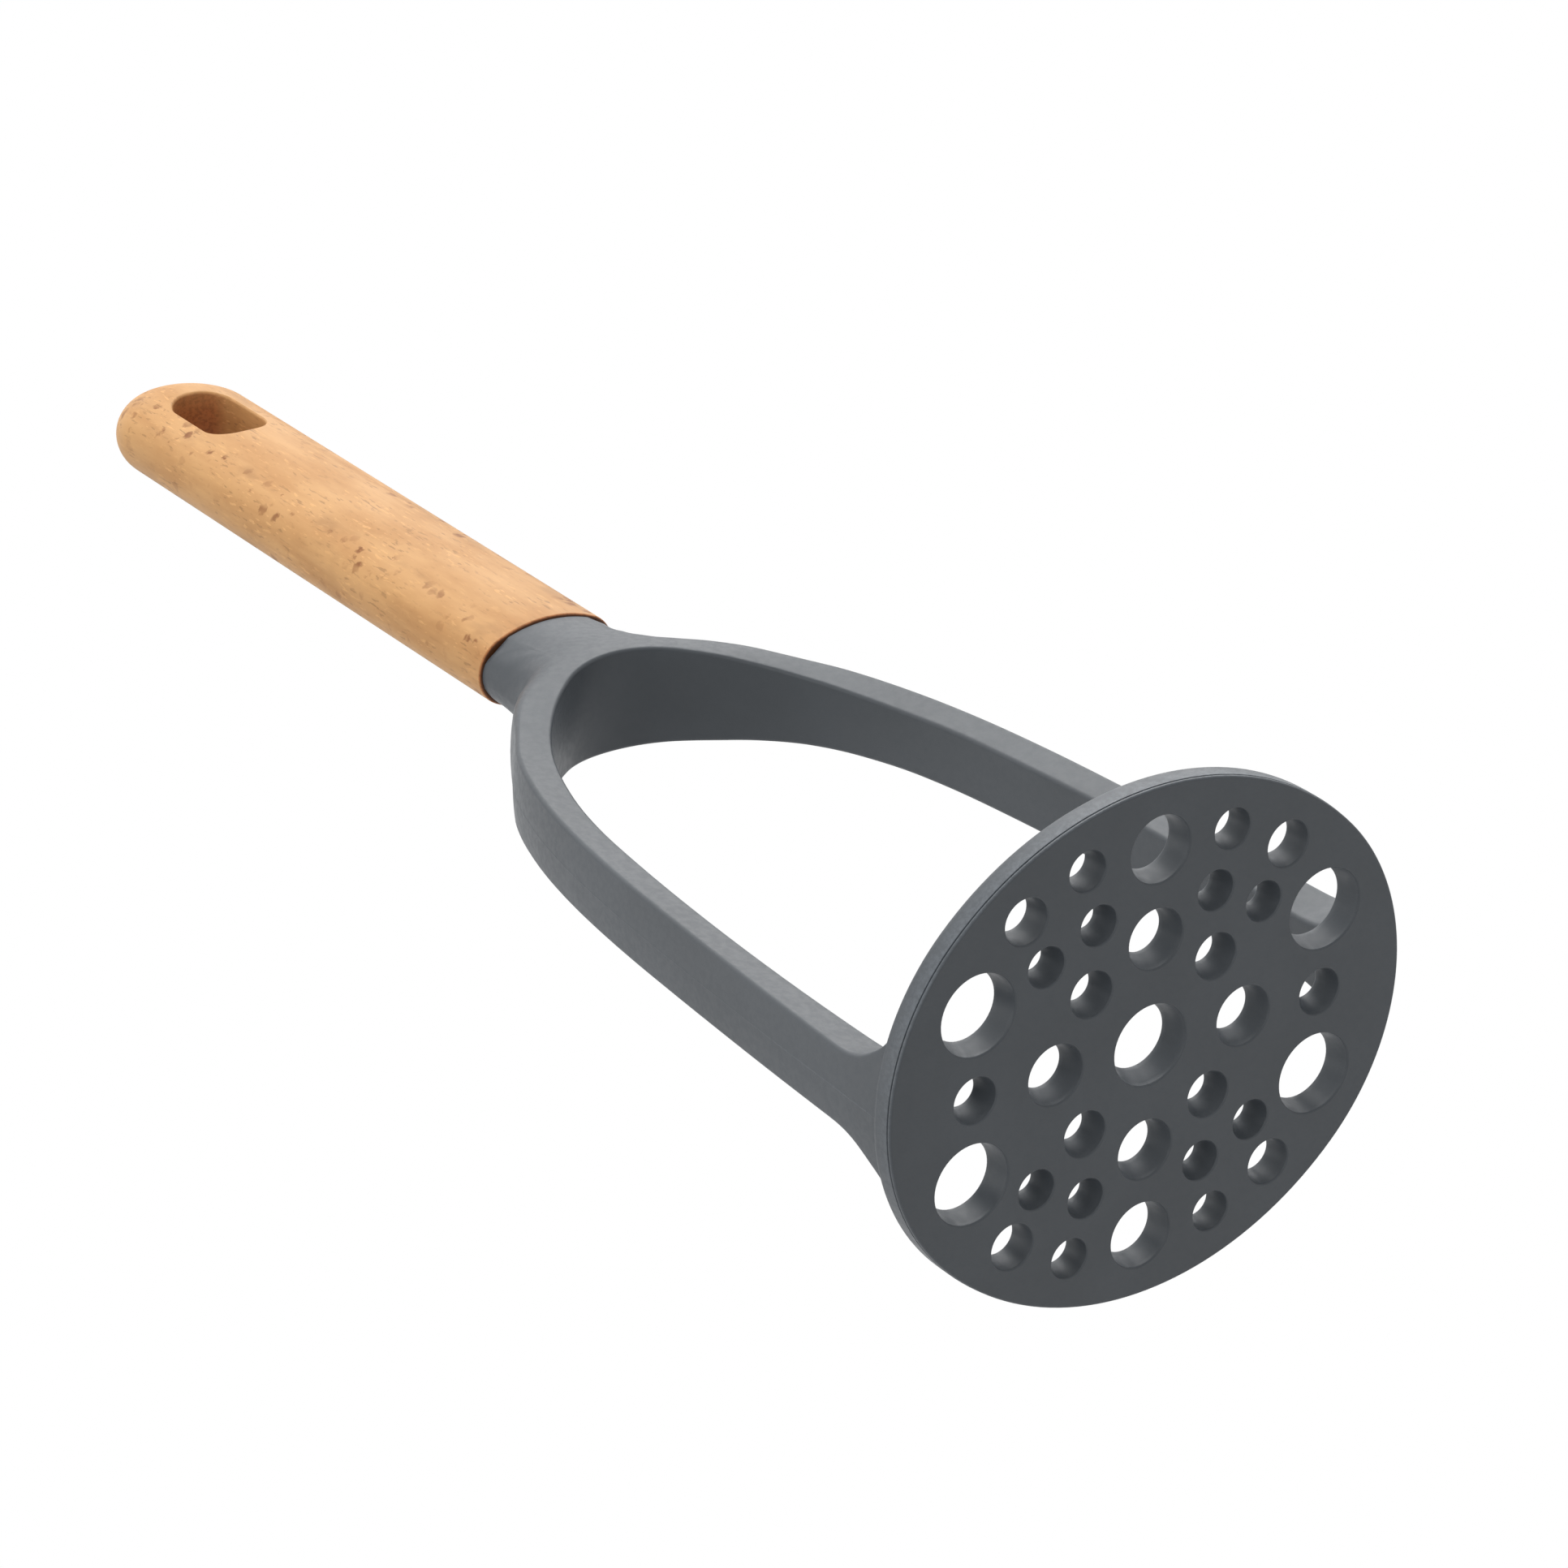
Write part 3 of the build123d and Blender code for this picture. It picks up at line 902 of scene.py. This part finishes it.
def mark_cut_wood_and_joint_shade(grip):
    """An attribute that says how far a point is on cut wood: the bore, the sawn end and the slot, whose two
    ends cut across the grain and are the slot's darkest. On the sawn end beside the neck it goes above 1,
    which darkens that end to near black: end grain and painted shade of the gap at the joint."""
    sizes = bpy.context.scene.grip_sizes
    foot = GRIP_BOX[0].z
    top = GRIP_BOX[1].z - sizes.slot_end
    low = top - sizes.slot_length
    near = 0.6 * MM
    end_depth, end_ease = 3.2 * MM, 2.2 * MM
    side_tone, saw_tone_and_shade, saw_depth = 0.05, 1.6, 0.5 * MM
    bore_top = low - 20 * MM
    mark = grip.data.attributes.new("cut_wood", "FLOAT", "POINT")
    for vertex, cut in zip(grip.data.vertices, mark.data):
        x, y, z = vertex.co
        value = 0.0
        if abs(x) < sizes.slot_width / 2 + near and low - near < z < top + near:
            end = clamp((abs(z - (low + top) / 2) - sizes.slot_length / 2 + end_depth) / end_ease)
            sunk = grip_surface(sizes, x) - abs(y)
            value = blend(side_tone, 1.0, end) * clamp((sunk - 0.02 * MM) / (0.8 * MM))
        # The sawn end goes above 1: end grain, and painted shade of the gap where the wood meets the neck
        if z < foot + near:
            value = max(value, saw_tone_and_shade * clamp(1 - (z - foot) / saw_depth))
        if hypot(x, y) < sizes.bore_radius + 0.01 * MM and z < bore_top:
            value = 1.0
        cut.value = value


# Materials

class Shader(Nodes):
    """Short calls for a material's nodes."""

    def __init__(self, name):
        self.material = bpy.data.materials.new(name)
        self.material.use_nodes = True
        super().__init__(self.material.node_tree)
        self.tree.nodes.clear()
        self.skin = self.node("ShaderNodeBsdfPrincipled")
        self.out = self.node("ShaderNodeOutputMaterial", {"Surface": self.skin.outputs[0]})
        self.place = self.node("ShaderNodeTexCoord").outputs["Object"]

    def surface(self, inputs):
        """Gives the surface its finish, and returns the material."""
        self.fill(self.skin, inputs)
        return self.material

    def mark(self, name):
        """What a mesh's attribute says."""
        return self.node("ShaderNodeAttribute", attribute_name=name).outputs["Fac"]

    def stretch(self, x, y, z):
        """Object coordinates with each axis scaled."""
        return self.node("ShaderNodeMapping", {"Vector": self.place, "Scale": (x, y, z)}).outputs[0]

    def noise(self, vector, scale, detail=2.0, rough=0.5):
        return self.node("ShaderNodeTexNoise", {"Vector": vector, "Scale": scale, "Detail": detail,
                                                "Roughness": rough}).outputs[0]

    def ramp(self, value, low, high, start=0.0, end=1.0):
        """A value between two limits mapped smoothly to another range."""
        limits = {"Value": value, "From Min": low, "From Max": high, "To Min": start, "To Max": end}
        return self.node("ShaderNodeMapRange", limits, interpolation_type="SMOOTHSTEP").outputs[0]

    def mix(self, share, a, b):
        a, b = [c if isinstance(c, bpy.types.NodeSocket) else (*c, 1.0) for c in (a, b)]
        return self.node("ShaderNodeMix", {0: share, 6: a, 7: b}, data_type="RGBA").outputs[2]

    def bump(self, height, distance, strength, under=None):
        made = self.node("ShaderNodeBump", {"Height": height, "Distance": distance, "Strength": strength})
        if under is not None:
            self.fill(made, {"Normal": under})
        return made.outputs[0]


def moulded_nylon():
    """Dark grey satin nylon with a fine spark-eroded grain and faint flow clouds."""
    finish = bpy.context.scene.finish
    s = Shader("moulded_nylon")
    base = Vector(finish.nylon)
    clouds = s.noise(s.stretch(1.0, 1.0, 0.6), 55.0, 3.0, 0.55)
    grain = s.noise(s.place, 3600.0, 2.0, 0.6)
    fine = s.noise(s.place, 900.0, 3.0, 0.6)
    tone = s.mix(s.ramp(clouds, 0.3, 0.7), base * 0.93, base * 1.07)
    tone = s.mix(s.ramp(grain, 0.35, 0.75, 0.0, 0.12), tone, base * 0.7)
    # The rim is lightened: partly scuffs, partly a painted highlight that is strongest on the side where y
    # is positive
    scuffs = s.ramp(s.noise(s.place, 1500.0, 3.0, 0.7), 0.35, 0.65, 0.35, 1.0)
    tone = s.mix(s.sum("MULTIPLY", s.mark("wear"), scuffs), tone, base * 1.9)
    rough = finish.nylon_roughness
    return s.surface({
        "Base Color": tone,
        "Roughness": s.ramp(fine, 0.3, 0.7, rough - 0.04, rough + 0.05),
        "IOR": 1.53,
        "Specular IOR Level": 0.38,
        "Normal": s.bump(grain, 0.000008, 0.2, s.bump(fine, 0.00001, 0.15)),
    })


def oiled_beech():
    """Beech with a soft cloudy figure, short pores, brown ray flecks, darker cut walls and a sawn end
    darkened by painted shade.
    """
    finish = bpy.context.scene.finish
    s = Shader("oiled_beech")
    light, dark = Vector(finish.beech), Vector(finish.beech_dark)
    figure = s.noise(s.stretch(1.0, 1.0, 0.28), 190.0, 3.0, 0.55)
    streaks = s.noise(s.stretch(1.0, 1.0, 0.07), 800.0, 2.0, 0.5)
    grain = s.sum("ADD", s.ramp(figure, 0.32, 0.7, 0.0, 0.8), s.ramp(streaks, 0.3, 0.7, 0.0, 0.25))
    tone = s.mix(grain, light, dark)
    # Short dashes along the grain, dark where a pore is open and pale between, in loose patches
    dashes = s.noise(s.stretch(1.0, 1.0, 0.22), 1900.0, 2.0, 0.5)
    patches = s.ramp(s.noise(s.stretch(1.0, 1.0, 0.5), 240.0, 2.0, 0.5), 0.42, 0.58, 0.3, 1.0)
    pore = s.sum("MULTIPLY", s.ramp(dashes, 0.6, 0.68, 0.0, 0.6), patches)
    pale = s.sum("MULTIPLY", s.ramp(dashes, 0.4, 0.32, 0.0, 0.7), patches)
    tone = s.mix(pore, tone, dark * 0.6)
    tone = s.mix(pale, tone, light * 1.15)
    # Ray flecks: irregular brown spots where the broad faces turn into the narrow sides
    out = s.sum("ABSOLUTE", s.split(s.place)[0])
    side = s.sum("MULTIPLY", s.ramp(out, 0.005, 0.0075, 0.1, 1.0), s.ramp(out, 0.0118, 0.0098, 0.35, 1.0))
    stain = s.ramp(s.noise(s.stretch(1.0, 1.0, 0.5), 150.0, 3.0, 0.6), 0.48, 0.66, 0.0, 0.5)
    tone = s.mix(s.sum("MULTIPLY", stain, side), tone, dark * 0.72)
    drift = s.node("ShaderNodeTexNoise", {"Vector": s.place, "Scale": 900.0, "Detail": 3.0})
    bend = s.node("ShaderNodeVectorMath", {0: drift.outputs["Color"], 1: (0.0018, 0.0018, 0.0018),
                                           2: s.place}, operation="MULTIPLY_ADD")
    cells = s.node("ShaderNodeTexVoronoi", {"Vector": bend.outputs[0], "Scale": 420.0},
                   feature="F1", distance="EUCLIDEAN")
    chance = s.node("ShaderNodeSeparateColor", {0: cells.outputs["Color"]}).outputs
    inside = s.sum("SUBTRACT", s.ramp(chance[1], 0.0, 1.0, 0.2, 0.48), cells.outputs["Distance"])
    fleck = s.sum("MULTIPLY", s.ramp(inside, -0.02, 0.2), s.ramp(chance[0], 0.2, 0.4))
    fleck = s.sum("MULTIPLY", s.sum("MULTIPLY", fleck, side), patches)
    tone = s.mix(fleck, tone, finish.fleck)
    cut, sawn = s.mark("cut_wood"), Vector(finish.cut)
    tone = s.mix(s.sum("MINIMUM", s.sum("MULTIPLY", cut, 0.9), 1.0), tone,
                 s.mix(s.ramp(dashes, 0.4, 0.65), sawn, sawn * 0.7))
    # Above 1, on the sawn end, the wood goes near black: painted shade of the gap at the joint, on top of
    # the end grain
    tone = s.mix(s.ramp(cut, 1.0, 1.5, 0.0, 0.85), tone, sawn * 0.12)
    ridge = s.bump(streaks, 0.00004, 0.25)
    return s.surface({
        "Base Color": tone,
        "Roughness": s.ramp(figure, 0.3, 0.7, 0.48, 0.56),
        "IOR": 1.46,
        "Specular IOR Level": 0.32,
        "Normal": s.bump(s.sum("SUBTRACT", pale, pore), 0.00006, 0.4, ridge),
    })


def cured_glue():
    """Cured adhesive, amber and slightly cloudy."""
    s = Shader("cured_glue")
    base = Vector(bpy.context.scene.finish.glue)
    clouds = s.noise(s.place, 260.0, 3.0, 0.6)
    return s.surface({
        "Base Color": s.mix(s.ramp(clouds, 0.3, 0.7), base * 0.85, base * 1.1),
        "Roughness": s.ramp(clouds, 0.3, 0.7, 0.3, 0.42),
        "Normal": s.bump(clouds, 0.0001, 0.3),
    })


def pale_floor():
    """A pale floor that fades to white, and is clear from below, where the photograph's camera stands."""
    s = Shader("pale_floor")
    base = Vector(bpy.context.scene.finish.floor)
    clouds = s.noise(s.place, 6.0, 3.0, 0.5)
    s.surface({"Base Color": s.mix(s.ramp(clouds, 0.3, 0.7), base * 0.99, base), "Roughness": 0.8})
    reach = s.node("ShaderNodeVectorMath", {0: s.place}, operation="LENGTH").outputs["Value"]
    white = s.node("ShaderNodeEmission").outputs[0]
    clear = s.node("ShaderNodeBsdfTransparent").outputs[0]
    below = s.node("ShaderNodeNewGeometry").outputs["Backfacing"]
    fade = s.choose(s.ramp(reach, 0.25, 1.1), s.skin.outputs[0], white)
    s.fill(s.out, {"Surface": s.choose(below, fade, clear)})
    return s.material


# Operators

class MASHER_OT_head(Operator):
    """Builds the moulded head: perforated plate, hoop, neck and ribbed tang"""
    bl_idname = "masher.head"
    bl_label = "Moulded head"

    def execute(self, context):
        nylon = moulded_nylon()
        head = hoop_solid()
        carve(head, tang_solid(), "UNION")
        plate = perforated_plate(nylon)
        head.data.materials.append(nylon)
        carve(head, plate, "UNION")
        head.name = "moulded_head"
        shade(head, 38)
        mark_wear_and_highlight(head)
        dress(head, nylon)
        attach(head, "root")
        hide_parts("masher_head")
        return {"FINISHED"}


class MASHER_OT_grip(Operator):
    """Builds the beech grip with its hanging slot and the bore for the tang"""
    bl_idname = "masher.grip"
    bl_label = "Beech grip"

    def execute(self, context):
        grip = grip_body()
        carve(grip, slot_tool(), "DIFFERENCE")
        carve(grip, bore_tool(), "DIFFERENCE")
        grip.name = "beech_grip"
        mark_cut_wood_and_joint_shade(grip)
        shade(grip, 38)
        dress(grip, oiled_beech())
        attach(grip, "root")
        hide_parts("handle")
        return {"FINISHED"}


class MASHER_OT_glue(Operator):
    """Gives the cured glue in the bore its finish"""
    bl_idname = "masher.glue"
    bl_label = "Glue sleeve"

    def execute(self, context):
        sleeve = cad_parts["adhesive_sleeve"]
        glue = cured_glue()
        if not sleeve.material_slots:
            sleeve.data.materials.append(glue)
        for slot in sleeve.material_slots:
            slot.material = glue
        return {"FINISHED"}


class MASHER_OT_stage(Operator):
    """Sets up the pale floor, the soft studio light and the photograph's camera"""
    bl_idname = "masher.stage"
    bl_label = "Stage"

    def execute(self, context):
        scene = context.scene
        scene.view_settings.view_transform = "Standard"
        self.floor()
        self.world(scene)
        self.lamps()
        self.camera(scene)
        return {"FINISHED"}

    def floor(self):
        bm = bmesh.new()
        bmesh.ops.create_circle(bm, cap_ends=True, radius=2.5, segments=96)
        floor = make_piece("floor", bm)
        if floor.data.polygons[0].normal.z < 0:
            floor.data.flip_normals()
        floor.data.materials.append(pale_floor())
        for ray in ("diffuse", "glossy", "transmission", "shadow"):
            setattr(floor, "visible_" + ray, False)

    def world(self, scene):
        world = bpy.data.worlds.new("soft_studio")
        scene.world = world
        world.use_nodes = True
        s = Nodes(world.node_tree)
        s.tree.nodes.clear()
        seen, soft = [s.node("ShaderNodeBackground", {"Color": (1, 1, 1, 1), "Strength": power}).outputs[0]
                      for power in (1.0, SOFT_LIGHT)]
        rays = s.node("ShaderNodeLightPath").outputs
        either = rays["Is Camera Ray"]
        for name in ("Is Glossy Ray", "Is Transmission Ray"):
            either = s.sum("MAXIMUM", either, rays[name])
        s.node("ShaderNodeOutputWorld", {"Surface": s.choose(either, soft, seen)})

    def lamps(self):
        for name, toward, distance, size, power in LAMPS:
            data = bpy.data.lights.new(name, "AREA")
            data.shape = "DISK"
            data.size = size
            data.energy = power
            lamp = put(name, data)
            place = Vector(LAMP_AIM) + Vector(toward).normalized() * distance
            lamp.matrix_world = looking_at(place, LAMP_AIM)
            lamp.visible_camera = False

    def camera(self, scene):
        data = bpy.data.cameras.new("photograph")
        data.lens = CAMERA_LENS
        data.sensor_width = 36.0
        data.clip_start = 0.01
        camera = put("photograph", data)
        camera.matrix_world = looking_at(CAMERA_PLACE, CAMERA_AIM, CAMERA_ROLL)
        scene.camera = camera


class MASHER_PT_parts(Panel):
    """Lists the masher's pieces in the sidebar"""
    bl_idname = "MASHER_PT_parts"
    bl_label = "Potato masher"
    bl_space_type = "VIEW_3D"
    bl_region_type = "UI"
    bl_category = "Masher"

    def draw(self, context):
        for operator in OPERATORS:
            self.layout.operator(operator.bl_idname)


GROUPS = (("plate_sizes", PlateSizes), ("hoop_sizes", HoopSizes), ("tang_sizes", TangSizes),
          ("grip_sizes", GripSizes), ("finish", Finish))
OPERATORS = (MASHER_OT_head, MASHER_OT_grip, MASHER_OT_glue, MASHER_OT_stage)


def register():
    for name, group in GROUPS:
        bpy.utils.register_class(group)
        setattr(bpy.types.Scene, name, PointerProperty(type=group))
    for operator in OPERATORS:
        bpy.utils.register_class(operator)
    bpy.utils.register_class(MASHER_PT_parts)


def unregister():
    bpy.utils.unregister_class(MASHER_PT_parts)
    for operator in reversed(OPERATORS):
        bpy.utils.unregister_class(operator)
    for name, group in reversed(GROUPS):
        delattr(bpy.types.Scene, name)
        bpy.utils.unregister_class(group)


def main():
    register()
    bpy.ops.masher.head()
    bpy.ops.masher.grip()
    bpy.ops.masher.glue()
    bpy.ops.masher.stage()


if __name__ == "__main__":
    main()
